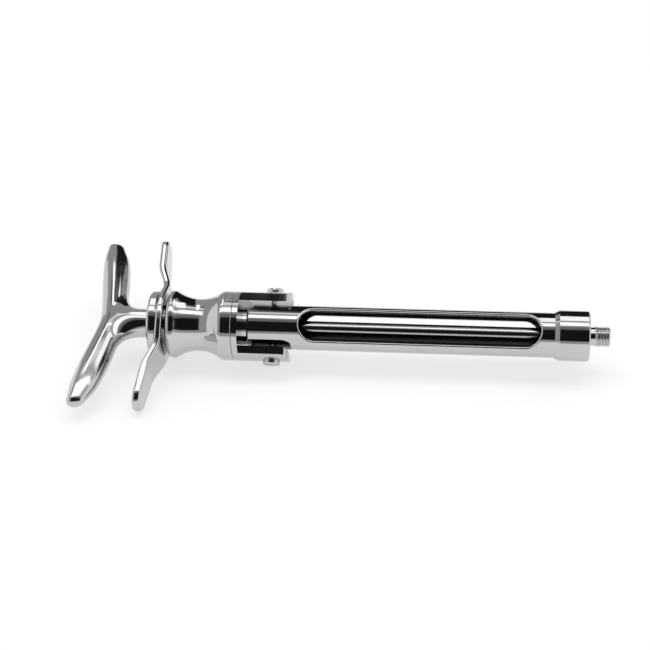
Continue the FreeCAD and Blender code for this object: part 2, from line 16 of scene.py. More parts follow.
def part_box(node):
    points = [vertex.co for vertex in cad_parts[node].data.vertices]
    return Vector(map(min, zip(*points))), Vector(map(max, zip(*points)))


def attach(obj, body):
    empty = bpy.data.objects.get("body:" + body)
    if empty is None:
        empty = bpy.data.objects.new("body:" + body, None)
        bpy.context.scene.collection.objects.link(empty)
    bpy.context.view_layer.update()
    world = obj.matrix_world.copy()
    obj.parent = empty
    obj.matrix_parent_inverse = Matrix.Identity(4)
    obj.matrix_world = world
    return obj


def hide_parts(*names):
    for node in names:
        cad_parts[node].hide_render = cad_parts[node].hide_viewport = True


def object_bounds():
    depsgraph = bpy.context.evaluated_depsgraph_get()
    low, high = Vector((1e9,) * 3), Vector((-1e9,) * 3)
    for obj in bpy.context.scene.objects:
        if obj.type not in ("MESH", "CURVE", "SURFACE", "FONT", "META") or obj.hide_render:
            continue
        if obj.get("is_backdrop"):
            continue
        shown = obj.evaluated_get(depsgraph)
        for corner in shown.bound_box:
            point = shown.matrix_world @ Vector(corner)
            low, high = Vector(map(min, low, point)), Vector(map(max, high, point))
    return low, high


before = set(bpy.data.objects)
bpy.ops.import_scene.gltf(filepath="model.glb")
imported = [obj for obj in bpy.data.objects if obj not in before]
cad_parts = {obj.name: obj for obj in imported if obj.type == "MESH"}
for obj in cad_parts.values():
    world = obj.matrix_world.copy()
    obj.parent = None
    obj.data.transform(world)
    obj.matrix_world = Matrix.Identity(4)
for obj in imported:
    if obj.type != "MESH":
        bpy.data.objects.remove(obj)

bl_info = {
    "name": "Aspirating dental syringe",
    "version": (1, 1, 0),
    "blender": (4, 5, 0),
    "location": "View3D > Sidebar > Syringe",
    "description": "Adds the finished pieces, metals and studio of a chromed dental syringe",
    "category": "Object",
}

BAR_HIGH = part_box("t_handle")[1]
ADAPTOR_LOW, ADAPTOR_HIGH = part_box("needle_adaptor")
GRIP_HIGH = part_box("finger_grip")[1]


# ------------------------------------------------------------------ sizes and colours
class ThumbBarSizes(bpy.types.PropertyGroup):
    """Sizes of the thumb bar's smooth form."""

    middle_back: bpy.props.FloatProperty(
        name="Middle", description="Bar's middle behind the origin", default=0.1330, unit="LENGTH")
    reach: bpy.props.FloatProperty(
        name="Reach", description="Tip from the long axis", default=0.0300, unit="LENGTH")
    middle_radius: bpy.props.FloatProperty(
        name="Middle radius", description="Radius of an arm near the middle", default=0.0031,
        unit="LENGTH")
    swell: bpy.props.FloatProperty(
        name="Swell", description="Extra radius half way along an arm", default=0.00035,
        unit="LENGTH")
    tip_radius: bpy.props.FloatProperty(
        name="Tip radius", description="Radius at the rounded tips", default=0.0020, unit="LENGTH")
    slope: bpy.props.FloatProperty(
        name="Sweep", description="Backward slope of the arms", default=0.198)
    bend: bpy.props.FloatProperty(
        name="Bend", description="Half length of the bend where the two arms meet", default=0.006,
        unit="LENGTH")
    neck_radius: bpy.props.FloatProperty(
        name="Neck radius", description="Radius of the neck", default=0.0039, unit="LENGTH")
    blend: bpy.props.FloatProperty(
        name="Blend", description="Width of the blend between the neck and the arms",
        default=0.0062, unit="LENGTH")
    turn: bpy.props.FloatProperty(
        name="Turn", description="Turn of the bar about the long axis", default=math.radians(12),
        subtype="ANGLE")


class BarrelStripSizes(bpy.types.PropertyGroup):
    """Sizes of the strip that narrows the barrel's rear window."""

    front: bpy.props.FloatProperty(
        name="Front end", description="Front end behind the cap's face", default=0.0172,
        unit="LENGTH")
    rear: bpy.props.FloatProperty(
        name="Rear end", description="Rear end behind the cap's face", default=0.083,
        unit="LENGTH")
    inner: bpy.props.FloatProperty(
        name="Inner radius", description="Radius of its inner face", default=0.00476,
        unit="LENGTH")
    outer: bpy.props.FloatProperty(
        name="Outer radius", description="Radius of its outer face", default=0.00594,
        unit="LENGTH")
    lower: bpy.props.FloatProperty(
        name="Lower edge", description="Angle of its buried edge about the axis",
        default=math.radians(-108), subtype="ANGLE")
    upper: bpy.props.FloatProperty(
        name="Upper edge", description="Angle of its open edge about the axis",
        default=math.radians(-24), subtype="ANGLE")


class FingerGripSizes(bpy.types.PropertyGroup):
    """Sizes of the finger grip's plate and wings."""

    thickness: bpy.props.FloatProperty(
        name="Thickness", description="Thickness of the plate", default=0.0018, unit="LENGTH")
    hub: bpy.props.FloatProperty(
        name="Hub", description="Radius of the round middle", default=0.0092, unit="LENGTH")
    hole: bpy.props.FloatProperty(
        name="Hole", description="Radius of the hole for the lock sleeve", default=0.0052,
        unit="LENGTH")
    reach: bpy.props.FloatProperty(
        name="Reach", description="Wing tip from the long axis", default=0.0278, unit="LENGTH")
    root: bpy.props.FloatProperty(
        name="Root", description="Half width of a wing at the hub", default=0.0062, unit="LENGTH")
    tip: bpy.props.FloatProperty(
        name="Tip", description="Half width and rounding of a wing's tip", default=0.0039,
        unit="LENGTH")
    edge: bpy.props.FloatProperty(
        name="Edge", description="Rounding of the plate's edges", default=0.0006, unit="LENGTH")
    bend_start: bpy.props.FloatProperty(
        name="Bend start", description="Where a wing starts to bend back", default=0.0083,
        unit="LENGTH")
    bend_end: bpy.props.FloatProperty(
        name="Bend end", description="Where a wing has bent back", default=0.0178, unit="LENGTH")
    bend_back: bpy.props.FloatProperty(
        name="Bend depth", description="How far a wing bends back", default=0.0025, unit="LENGTH")
    lean: bpy.props.FloatProperty(
        name="Lean", description="Backward slope of a wing beyond its bend", default=0.09)
    turn: bpy.props.FloatProperty(
        name="Turn", description="Turn of the grip about the long axis", default=math.radians(19),
        subtype="ANGLE")


class NeedleThreadSizes(bpy.types.PropertyGroup):
    """Sizes of the needle thread and its shank."""

    radius: bpy.props.FloatProperty(
        name="Radius", description="Radius over the thread's crests", default=0.00274,
        unit="LENGTH")
    depth: bpy.props.FloatProperty(
        name="Depth", description="Depth of the thread", default=0.00030, unit="LENGTH")
    pitch: bpy.props.FloatProperty(
        name="Pitch", description="Distance from crest to crest", default=0.00075, unit="LENGTH")
    length: bpy.props.FloatProperty(
        name="Length", description="Threaded length", default=0.00395, unit="LENGTH")
    undercut: bpy.props.FloatProperty(
        name="Undercut", description="Radius behind the thread", default=0.00245, unit="LENGTH")
    shank: bpy.props.FloatProperty(
        name="Shank", description="Radius of the shank in the cap", default=0.0022, unit="LENGTH")
    shank_length: bpy.props.FloatProperty(
        name="Shank length", description="Length of that shank", default=0.0018, unit="LENGTH")
    bore: bpy.props.FloatProperty(
        name="Needle passage", description="Radius of the needle passage", default=0.001,
        unit="LENGTH")


class MetalTones(bpy.types.PropertyGroup):
    """Tone and polish of the chrome."""

    chrome: bpy.props.FloatVectorProperty(
        name="Chrome", description="Colour of the chrome plating", subtype="COLOR", size=3,
        min=0, max=1, default=(0.55, 0.555, 0.565))
    polish: bpy.props.FloatProperty(
        name="Roughness", description="Roughness of the polished chrome", default=0.07, min=0,
        max=1)
    steel: bpy.props.FloatVectorProperty(
        name="Steel", description="Colour of the rod, the spring and the screws", subtype="COLOR",
        size=3, min=0, max=1, default=(0.56, 0.56, 0.58))
    brass: bpy.props.FloatVectorProperty(
        name="Brass", description="Colour of the guide bush", subtype="COLOR", size=3, min=0,
        max=1, default=(0.66, 0.50, 0.24))


class StudioLevels(bpy.types.PropertyGroup):
    """Light levels of the studio."""

    backdrop: bpy.props.FloatProperty(
        name="Backdrop", description="Strength of the white backdrop", default=1.0, min=0)
    ambient: bpy.props.FloatProperty(
        name="Ambient", description="Strength of the soft light all round", default=0.75, min=0)
    cards: bpy.props.FloatProperty(
        name="Cards", description="Strength of the cards seen in the metal, times their own",
        default=1.0, min=0)
    lamp: bpy.props.FloatProperty(
        name="Lamp", description="Power of the overhead lamp", default=2.0, min=0, subtype="POWER")


# ------------------------------------------------------------------ metals
def new_material(name):
    """An empty node material, with its tree, Principled shader and Object coordinates."""
    mat = bpy.data.materials.new(name)
    mat.use_nodes = True
    tree = mat.node_tree
    shader = tree.nodes["Principled BSDF"]
    coord = tree.nodes.new("ShaderNodeTexCoord")
    return mat, tree, shader, coord.outputs["Object"]


def noise(tree, vector, scale, detail, stretch=None):
    """Noise over Object coordinates. `stretch` squeezes the pattern along each axis."""
    if stretch is not None:
        mapping = tree.nodes.new("ShaderNodeMapping")
        mapping.inputs["Scale"].default_value = stretch
        tree.links.new(vector, mapping.inputs["Vector"])
        vector = mapping.outputs["Vector"]
    node = tree.nodes.new("ShaderNodeTexNoise")
    node.inputs["Scale"].default_value = scale
    node.inputs["Detail"].default_value = detail
    tree.links.new(vector, node.inputs["Vector"])
    return node.outputs["Fac"]


def spread(tree, value, low, high):
    """Map the middle of a noise, 0.3 to 0.7, onto low to high."""
    node = tree.nodes.new("ShaderNodeMapRange")
    node.inputs["From Min"].default_value = 0.3
    node.inputs["From Max"].default_value = 0.7
    node.inputs["To Min"].default_value = low
    node.inputs["To Max"].default_value = high
    tree.links.new(value, node.inputs["Value"])
    return node.outputs["Result"]


BORE_SHADE = 0.34        # painted shade: tone of the bore, as a share of the outside's
BORE_ROUGHNESS = 0.16
BORE_STEP = 0.0001       # length over which the finish and the painted shade change


def bore_painted_shade(tree, where, bore, tone, colour, roughness):
    """Darker as painted shade, and rougher, inside radius bore: a short step of sqrt(y^2 + z^2).
    """
    flat = tree.nodes.new("ShaderNodeVectorMath")
    flat.operation = "MULTIPLY"
    flat.inputs[1].default_value = (0, 1, 1)
    tree.links.new(where, flat.inputs[0])
    length = tree.nodes.new("ShaderNodeVectorMath")
    length.operation = "LENGTH"
    tree.links.new(flat.outputs["Vector"], length.inputs[0])
    step = tree.nodes.new("ShaderNodeMapRange")
    step.inputs["From Min"].default_value = bore - BORE_STEP
    step.inputs["From Max"].default_value = bore
    tree.links.new(length.outputs["Value"], step.inputs["Value"])
    shade = tree.nodes.new("ShaderNodeMix")
    shade.data_type = "RGBA"
    shade.inputs[6].default_value = (*[BORE_SHADE * c for c in tone], 1)
    tree.links.new(step.outputs["Result"], shade.inputs[0])
    tree.links.new(colour, shade.inputs[7])
    rough = tree.nodes.new("ShaderNodeMix")
    rough.inputs[2].default_value = BORE_ROUGHNESS
    tree.links.new(step.outputs["Result"], rough.inputs[0])
    tree.links.new(roughness, rough.inputs[3])
    return shade.outputs[2], rough.outputs[0]


def metal(name, tone, rough, wave, wave_scale, grain, stretch, bore=0.0):
    """A polished metal: a slight tone change, a smear of roughness and a hand-polished waviness.

    tone: its colour; rough: lowest and highest roughness; wave: depth of the waviness in metres
    at wave_scale cycles per metre; grain, stretch: fine polishing lines. Closer to the long axis
    than bore the metal is rougher, and darker as painted shade inside the bore.
    """
    mat, tree, shader, where = new_material(name)
    mix = tree.nodes.new("ShaderNodeMix")
    mix.data_type = "RGBA"
    mix.inputs[6].default_value = (*[0.95 * c for c in tone], 1)
    mix.inputs[7].default_value = (*[min(1.0, 1.04 * c) for c in tone], 1)
    tree.links.new(spread(tree, noise(tree, where, 60.0, 3.0), 0.0, 1.0), mix.inputs[0])
    shader.inputs["Metallic"].default_value = 1.0
    smear = noise(tree, where, 220.0, 4.0, stretch)
    colour, roughness = mix.outputs[2], spread(tree, smear, rough[0], rough[1])
    # painted shade darkens the inside of the bore, which is also made rougher
    if bore:
        colour, roughness = bore_painted_shade(tree, where, bore, tone, colour, roughness)
    tree.links.new(colour, shader.inputs["Base Color"])
    tree.links.new(roughness, shader.inputs["Roughness"])
    swell = tree.nodes.new("ShaderNodeBump")
    swell.inputs["Strength"].default_value = 1.0
    swell.inputs["Distance"].default_value = wave
    tree.links.new(noise(tree, where, wave_scale, 1.0), swell.inputs["Height"])
    lines = tree.nodes.new("ShaderNodeBump")
    lines.inputs["Strength"].default_value = 1.0
    lines.inputs["Distance"].default_value = grain
    tree.links.new(noise(tree, where, 900.0, 2.0, stretch), lines.inputs["Height"])
    tree.links.new(swell.outputs["Normal"], lines.inputs["Normal"])
    tree.links.new(lines.outputs["Normal"], shader.inputs["Normal"])
    return mat


def make_metals(tones):
    """Every metal of the syringe, by name."""
    chrome, steel, brass = tuple(tones.chrome), tuple(tones.steel), tuple(tones.brass)
    p = tones.polish
    even, along, round_axis = (1, 1, 1), (0.08, 1, 1), (1, 0.1, 0.1)
    return {
        "hand_polished_chrome": metal("hand_polished_chrome", chrome, (1.2 * p, 2.4 * p), 4.0e-5,
                                      110.0, 1.0e-7, even),
        "waist_chrome": metal("waist_chrome", chrome, (0.8 * p, 1.6 * p), 1.5e-5, 90.0, 1.0e-7,
                              round_axis),
        # painted shade: the barrel's bore is darker inside radius 0.0049
        "barrel_chrome": metal("barrel_chrome", chrome, (0.8 * p, 1.5 * p), 1.2e-5, 60.0, 2.0e-7,
                               along, bore=0.0049),
        "turned_chrome": metal("turned_chrome", chrome, (0.9 * p, 1.7 * p), 8.0e-6, 120.0, 3.0e-7,
                               round_axis),
        "screw_steel": metal("screw_steel", steel, (0.14, 0.26), 5.0e-6, 400.0, 1.0e-6, even),
        "rod_steel": metal("rod_steel", steel, (0.08, 0.15), 6.0e-6, 80.0, 4.0e-7, along),
        "spring_wire": metal("spring_wire", steel, (0.20, 0.32), 5.0e-6, 300.0, 1.0e-6, even),
        "bush_brass": metal("bush_brass", brass, (0.18, 0.30), 5.0e-6, 300.0, 1.0e-6, round_axis),
    }


FINISH = {
    "barrel_tube": "barrel_chrome",
    "front_cap": "turned_chrome",
    "needle_adaptor": "turned_chrome",
    "yoke": "turned_chrome",
    "pivot_screw_left": "screw_steel",
    "pivot_screw_right": "screw_steel",
    "spool_body": "waist_chrome",
    "lock_sleeve": "turned_chrome",
    "lock_spring": "spring_wire",
    "guide_bush": "bush_brass",
    "finger_grip": "hand_polished_chrome",
    "rear_nut": "turned_chrome",
    "plunger_rod": "rod_steel",
    "harpoon": "rod_steel",
    "t_handle": "hand_polished_chrome",
}


def metal_for(node):
    """The metal of a CAD node, made once."""
    name = FINISH[node]
    if name not in bpy.data.materials:
        make_metals(bpy.context.scene.syringe_metals)
    return bpy.data.materials[name]


# ------------------------------------------------------------------ surfaces
def add_mesh(name, points, faces, material):
    """Put points and faces into the scene as one piece of one material."""
    mesh = bpy.data.meshes.new(name)
    mesh.from_pydata(points, [], faces)
    mesh.materials.append(material)
    obj = bpy.data.objects.new(name, mesh)
    bpy.context.scene.collection.objects.link(obj)
    return obj


def add_skin(name, points, quads, fans, material):
    """A smooth closed skin. Its faces are turned outward by the sign of the enclosed volume."""
    a, b, c, d = (points[quads[:, k]] for k in range(4))
    if np.sum(a * np.cross(b, c)) + np.sum(a * np.cross(c, d)) < 0:
        quads, fans = quads[:, ::-1], fans[:, ::-1]
    obj = add_mesh(name, points.tolist(), quads.tolist() + fans.tolist(), material)
    polygons = obj.data.polygons
    polygons.foreach_set("use_smooth", np.ones(len(polygons), bool))
    return obj


def tube_skin(name, grid, start, end, material):
    """A closed skin over a grid of points, rows by columns.

    The columns run round and join up. `start` and `end` are the single points that close the
    first and the last row.
    """
    rows, columns, _ = grid.shape
    points = np.concatenate([grid.reshape(-1, 3), [start, end]])
    index = np.arange(rows * columns).reshape(rows, columns)
    beside = np.roll(index, -1, 1)
    quads = np.stack([index[:-1], beside[:-1], beside[1:], index[1:]], -1).reshape(-1, 4)
    first = np.stack([np.full(columns, rows * columns), beside[0], index[0]], -1)
    last = np.stack([np.full(columns, rows * columns + 1), index[-1], beside[-1]], -1)
    return add_skin(name, points, quads, np.concatenate([first, last]), material)


def about_axis(points, turn):
    """Points turned about the long axis."""
    c, s = math.cos(turn), math.sin(turn)
    y, z = points[..., 1], points[..., 2]
    return np.stack([points[..., 0], c * y - s * z, s * y + c * z], -1)


def ring_skin(name, grid, material):
    """A closed skin whose rows and columns both run round and join up."""
    rows, columns, _ = grid.shape
    index = np.arange(rows * columns).reshape(rows, columns)
    beside, below = np.roll(index, -1, 1), np.roll(index, -1, 0)
    quads = np.stack([index, beside, np.roll(below, -1, 1), below], -1).reshape(-1, 4)
    return add_skin(name, grid.reshape(-1, 3), quads, np.empty((0, 3), int), material)


def build_barrel_strip(sizes):
    """The strip of barrel wall that leaves only the upper part of the rear window open.

    The cross section runs along the outer arc, round a half circle at each edge and back along
    the inner arc. It is carried straight along the axis, and its two ends lie in the wall.
    """
    middle, half = (sizes.inner + sizes.outer) / 2, (sizes.outer - sizes.inner) / 2
    steps = 60
    arc = np.linspace(sizes.lower, sizes.upper, steps)
    turn = np.linspace(0, math.pi, 9)[1:-1]
    radius = np.concatenate([np.full(steps, sizes.outer), middle + half * np.cos(turn),
                             np.full(steps, sizes.inner), middle - half * np.cos(turn)])
    angle = np.concatenate([arc, sizes.upper + half / middle * np.sin(turn), arc[::-1],
                            sizes.lower - half / middle * np.sin(turn)])
    x = np.linspace(-sizes.rear, -sizes.front, 40)[:, None]
    grid = np.stack(np.broadcast_arrays(x, radius * np.cos(angle), radius * np.sin(angle)), -1)
    centre = (sizes.lower + sizes.upper) / 2
    ends = [np.array([e, middle * math.cos(centre), middle * math.sin(centre)])
            for e in (-sizes.rear, -sizes.front)]
    # the strip's inner face lies within the barrel metal's painted shade
    obj = tube_skin("barrel_rear_strip", grid, ends[0], ends[1], metal_for("barrel_tube"))
    obj.data.set_sharp_from_angle(angle=math.radians(50))
    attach(obj, "syringe_body")


HUB_BLEND = 0.003          # width of the blend between the grip's hub and its wings
WING_HOLLOW = 0.0003       # how far a wing's sides curve in, half way along
WING_THICKENING = 0.16     # extra thickness of a wing, as a share


def finger_grip_outline(sizes, angle):
    """Distance from the axis to the plate's edge at each angle from the wings' line.

    The outline is a round hub and two tapering wings with round tips, joined by a smooth minimum
    of their distances. Halving each ray finds the edge.
    """
    low, high = np.full(angle.shape, 0.5 * sizes.hub), np.full(angle.shape, 1.2 * sizes.reach)
    straight = sizes.reach - sizes.tip
    for _ in range(30):
        mid = (low + high) / 2
        v, w = np.abs(mid * np.cos(angle)), np.abs(mid * np.sin(angle))
        share = np.clip((v - 0.7 * sizes.hub) / (straight - 0.7 * sizes.hub), 0, 1)
        half = (sizes.root + (sizes.tip - sizes.root) * share
                - WING_HOLLOW * 4 * share * (1 - share))
        to_wing = np.where(v > straight, np.hypot(v - straight, w) - sizes.tip, w - half)
        to_hub = np.hypot(v, w) - sizes.hub
        near = np.clip(HUB_BLEND - np.abs(to_wing - to_hub), 0, None) / HUB_BLEND
        inside = np.minimum(to_wing, to_hub) - near * near * HUB_BLEND / 4 < 0
        low, high = np.where(inside, mid, low), np.where(inside, high, mid)
    return low


def build_finger_grip(sizes):
    """The finger grip: a flat plate whose wings bend back in a double curve.

    Rows run from the hole over the front face, round the edge and back over the rear face. The
    wings are then moved back by depth * smoothstep((|v| - start) / (end - start)) plus a slope
    beyond the bend, and the plate is turned about the long axis.
    """
    straight = sizes.reach - sizes.tip
    along = np.linspace(0.12, 1, 150) ** 0.7 * straight
    quarter = np.concatenate([
        np.linspace(0, 1, 40)[:-1] * math.atan2(sizes.tip, straight),
        np.arctan2(np.interp(along, [0, straight], [sizes.root, sizes.tip]), along)[::-1],
        np.linspace(math.radians(48), math.radians(90), 30)])
    quarter = np.unique(np.round(quarter[quarter < math.radians(90)], 6))
    angle = np.concatenate([quarter, math.pi - quarter[::-1], math.pi + quarter[1:],
                            2 * math.pi - quarter[:0:-1]])
    angle = np.unique(np.round(angle, 6))
    rim = finger_grip_outline(sizes, angle)
    loop = np.stack([rim * np.cos(angle), rim * np.sin(angle)], -1)
    way = np.roll(loop, -1, 0) - np.roll(loop, 1, 0)
    way /= np.linalg.norm(way, axis=1, keepdims=True)
    out = np.stack([way[:, 1], -way[:, 0]], -1)
    hole = np.stack([np.cos(angle), np.sin(angle)], -1) * sizes.hole
    rows = 45
    face = np.linspace(0, 1, rows)[:, None, None]
    inset = loop - out * sizes.edge
    flat = hole * (1 - face) + inset * face
    bend = np.linspace(0, math.pi / 2, 9)[1:, None, None]
    round_front = inset + out * sizes.edge * np.sin(bend)
    depth = np.concatenate([np.zeros(rows), sizes.edge * (1 - np.cos(bend[:, 0, 0]))])
    half = np.concatenate([flat, round_front])
    both = np.concatenate([half, half[::-1]])
    back = np.concatenate([depth, (sizes.thickness - depth)[::-1]])
    v, w = both[..., 0], both[..., 1]
    share = np.clip((np.abs(v) - sizes.bend_start) / (sizes.bend_end - sizes.bend_start), 0, 1)
    swept = (sizes.bend_back * share ** 2 * (3 - 2 * share)
             + sizes.lean * np.clip(np.abs(v) - sizes.bend_end, 0, None))
    behind = back[:, None] * (1 + WING_THICKENING * share) + swept
    grid = np.stack([GRIP_HIGH.x - behind, v, w], -1)
    obj = ring_skin("finger_grip_form", about_axis(grid, sizes.turn), metal_for("finger_grip"))
    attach(obj, "lock_carrier")
    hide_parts("finger_grip")


def thumb_bar_inside(u, v, w, sizes, neck_length):
    """Below zero inside the thumb bar before its arms are swept back.

    u runs forward along the neck, v along the bar and w across both. In the plane of u and v the
    outline is two arms and a neck joined by a smooth minimum of their distances. Across that
    plane the form is as deep as a round bar of the local radius r: at a distance d inside the
    outline, its half depth squared is r^2 - (r - d)^2, with d no more than r.
    """
    straight = sizes.reach - sizes.tip_radius
    share = np.clip(np.abs(v) / straight, 0, 1)
    arm = (sizes.middle_radius + (sizes.tip_radius - sizes.middle_radius) * share ** 7
           + sizes.swell * np.sin(math.pi * share))
    beyond = np.maximum(np.abs(v) - straight, 0)
    to_arm = np.hypot(u, beyond) - arm
    to_neck = np.hypot(v, np.minimum(u - 0.6 * arm, 0)) - sizes.neck_radius
    front = np.clip((u + arm) / (2 * arm), 0.02, 1)
    width = sizes.blend * front * front * (3 - 2 * front)
    near = np.clip(width - np.abs(to_arm - to_neck), 0, None) / width
    depth = near * near * width / 4 - np.minimum(to_arm, to_neck)
    side = np.clip(0.5 + 0.5 * (to_neck - to_arm) / sizes.blend, 0, 1)
    side = side * side * (3 - 2 * side)
    local = arm * side + sizes.neck_radius * (1 - side)
    inner = local - np.minimum(depth, local)
    return np.maximum(w * w - (local * local - inner * inner), (u - neck_length) * 0.01)


def build_thumb_bar(sizes):
    """The thumb bar: two swept arms that run into the neck in one soft form.

    Each point lies on a ray from the bar's middle, at a polar angle from the bar's line and an
    azimuth round it, where halving the ray finds the surface. The arms are then swept back by
    slope * sqrt(v^2 + bend^2) and the whole is turned about the long axis.
    """
    middle = -sizes.middle_back
    neck_length = BAR_HIGH.x - middle
    straight = sizes.reach - sizes.tip_radius
    cap = np.linspace(0.02, 1, 14) * math.atan2(sizes.tip_radius, straight)
    out = straight * (1 - np.linspace(0, 1, 90)[1:] ** 0.8)
    side = np.arctan2(np.full(out.shape, sizes.middle_radius), out)
    side = side[side > cap[-1]]
    half = np.concatenate([cap, side])
    half = np.sort(half[half < math.radians(89.9)])
    polar = np.concatenate([half, np.linspace(math.radians(70), math.radians(110), 61),
                            math.pi - half])
    polar = np.unique(np.round(polar, 5))
    azimuth = np.linspace(0, 2 * math.pi, 160, endpoint=False)
    azimuth = azimuth - 0.35 * np.sin(azimuth)
    a, b = np.meshgrid(polar, azimuth, indexing="ij")
    ray = np.stack([np.sin(a) * np.cos(b), np.cos(a), np.sin(a) * np.sin(b)], -1)
    low, high = np.full(a.shape, 0.0003), np.full(a.shape, 0.05)
    for _ in range(34):
        mid = (low + high) / 2
        at = ray * mid[..., None]
        inside = thumb_bar_inside(at[..., 0], at[..., 1], at[..., 2], sizes, neck_length) < 0
        low, high = np.where(inside, mid, low), np.where(inside, high, mid)
    grid = ray * low[..., None]
    ends = np.array([[0, sizes.reach, 0], [0, -sizes.reach, 0]])

    def place(points):
        swept = points.copy()
        neck = np.clip(points[..., 0] / neck_length, 0, 1)
        swept[..., 0] = (points[..., 0] + middle
                         - sizes.slope * (1 - neck) * np.hypot(points[..., 1], sizes.bend))
        return about_axis(swept, sizes.turn)

    grid, ends = place(grid), place(ends)
    obj = tube_skin("thumb_bar_form", grid, ends[0], ends[1], metal_for("t_handle"))
    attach(obj, "thumb_bar")
    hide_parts("t_handle")


def build_needle_adaptor(sizes):
    """The needle adaptor with a screw thread.

    Rows follow the outline from the passage's rear mouth over the outside to its front mouth. On
    the threaded length the crest radius loses depth * (0.5 - 0.5 cos(2 pi x / pitch + angle))
    ^ 0.8, which fades out at both ends.
    """
    front, back = ADAPTOR_HIGH.x, ADAPTOR_LOW.x
    rows, lead = 120, 0.00035
    seat = back + sizes.shank_length
    thread_x = np.linspace(front - sizes.length, front - lead, rows)
    x = np.concatenate([[back, back, seat, seat, front - sizes.length], thread_x, [front, front]])
    r = np.concatenate([[sizes.bore, sizes.shank, sizes.shank, sizes.undercut, sizes.undercut],
                        np.full(rows, sizes.radius), [sizes.radius - lead, sizes.bore]])
    angle = np.linspace(0, 2 * math.pi, 96, endpoint=False)
    xx, aa = np.meshgrid(x, angle, indexing="ij")
    groove = (0.5 - 0.5 * np.cos(2 * math.pi * xx / sizes.pitch + aa)) ** 0.8
    fade = (np.clip((front - xx) / (2 * lead), 0, 1)
            * np.clip((xx - front + sizes.length) / (2 * lead), 0, 1))
    threaded = (np.arange(len(x)) >= 5) & (np.arange(len(x)) < 5 + rows)
    rr = r[:, None] - np.where(threaded[:, None], sizes.depth * groove * fade, 0)
    grid = np.stack([xx, rr * np.cos(aa), rr * np.sin(aa)], -1)
    obj = ring_skin("needle_adaptor_form", grid, metal_for("needle_adaptor"))
    obj.data.set_sharp_from_angle(angle=math.radians(50))
    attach(obj, "syringe_body")
    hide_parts("needle_adaptor")


# ------------------------------------------------------------------ studio
SURROUND = 0.42          # strength of the grey all round, seen in the metal
PAPER_GREY = (0.40, 0.40, 0.40)
PAPER_GLOW = 0.60        # with the light that falls on the paper, this makes it white
FLOOR_SIZE = 3.0
FLOOR_GAP = 0.0002       # clear of the lowest point of the syringe
CAMERA = {
    "lens": 81.97, "azimuth": 6.3, "elevation": 35.0, "roll": 1.7, "distance": 0.398,
    "foot_x": -0.0755, "shift_up": 0.0054,
}
CARDS = (
    # name, start, end, radius, half length, middle x, strength, soft
    ("camera_side_card", 10, 62, 0.40, 0.35, 0.05, 0.010, 0.05),
    ("camera_top_card", 62, 75, 0.40, 0.35, 0.05, 0.20, 0.05),
    ("camera_top_light", 75, 82, 0.40, 0.35, 0.05, 0.50, 0.05),
    ("overhead_strip", 84, 94, 0.40, 0.35, 0.00, 1.80, 0.05),
    ("overhead_gap", 96, 105, 0.40, 0.35, 0.00, 0.50, 0.05),
    ("back_light", 107, 116, 0.40, 0.35, 0.00, 1.10, 0.05),
    ("back_grey", 117, 125, 0.40, 0.35, 0.00, 0.15, 0.05),
    ("back_card", 125.5, 188, 0.40, 0.124, -0.044, 0.012, 0.012),
    ("lower_arm_dark", 112, 142, 0.39, 0.19, 0.41, 0.02, 0.03),
    ("lower_arm_light", 106, 132, 0.39, 0.115, 0.085, 1.70, 0.03),
    ("upper_arm_light", 104, 132, 0.39, 0.030, -0.2035, 2.20, 0.008),
    ("surround", -20, 200, 0.80, 0.90, -0.08, SURROUND, 0.01),
)


def floor_paper(background):
    """The matt floor. background is the strength that camera, glossy and transmission rays see."""
    mat, tree, shader, _ = new_material("floor_paper")
    shader.inputs["Base Color"].default_value = (*PAPER_GREY, 1)
    shader.inputs["Roughness"].default_value = 0.9
    shader.inputs["Specular IOR Level"].default_value = 0.0
    shader.inputs["Emission Color"].default_value = (1, 1, 1, 1)
    tree.links.new(scaled(tree, seen_directly(tree), background),
                   shader.inputs["Emission Strength"])
    return mat


def scaled(tree, value, factor):
    """A value times a factor."""
    node = tree.nodes.new("ShaderNodeMath")
    node.operation = "MULTIPLY"
    node.inputs[1].default_value = factor
    tree.links.new(value, node.inputs[0])
    return node.outputs[0]


def seen_directly(tree):
    """1 for camera, glossy and transmission rays, else 0."""
    path = tree.nodes.new("ShaderNodeLightPath")
    value = path.outputs["Is Camera Ray"]
    for other in ("Is Glossy Ray", "Is Transmission Ray"):
        node = tree.nodes.new("ShaderNodeMath")
        node.operation = "MAXIMUM"
        tree.links.new(value, node.inputs[0])
        tree.links.new(path.outputs[other], node.inputs[1])
        value = node.outputs[0]
    return value


def card_material(name, strength, soft, half_length, middle_x):
    """A card seen only in the metal. Its light fades to the surroundings' grey at its two ends.

    strength: its brightness; soft: length of the fade in metres.
    """
    mat, tree, shader, where = new_material(name)
    shader.inputs["Base Color"].default_value = (0, 0, 0, 1)
    shader.inputs["Roughness"].default_value = 1.0
    shader.inputs["Specular IOR Level"].default_value = 0.0
    shader.inputs["Emission Color"].default_value = (1, 1, 1, 1)
    split = tree.nodes.new("ShaderNodeSeparateXYZ")
    tree.links.new(where, split.inputs["Vector"])
    away = tree.nodes.new("ShaderNodeMath")
    away.operation = "SUBTRACT"
    away.inputs[1].default_value = middle_x
    tree.links.new(split.outputs["X"], away.inputs[0])
    size = tree.nodes.new("ShaderNodeMath")
    size.operation = "ABSOLUTE"
    tree.links.new(away.outputs[0], size.inputs[0])
    fade = tree.nodes.new("ShaderNodeMapRange")
    fade.interpolation_type = "SMOOTHSTEP"
    fade.inputs["From Min"].default_value = half_length - soft
    fade.inputs["From Max"].default_value = half_length
    fade.inputs["To Min"].default_value = strength
    fade.inputs["To Max"].default_value = SURROUND
    tree.links.new(size.outputs[0], fade.inputs["Value"])
    tree.links.new(fade.outputs["Result"], shader.inputs["Emission Strength"])
    return mat


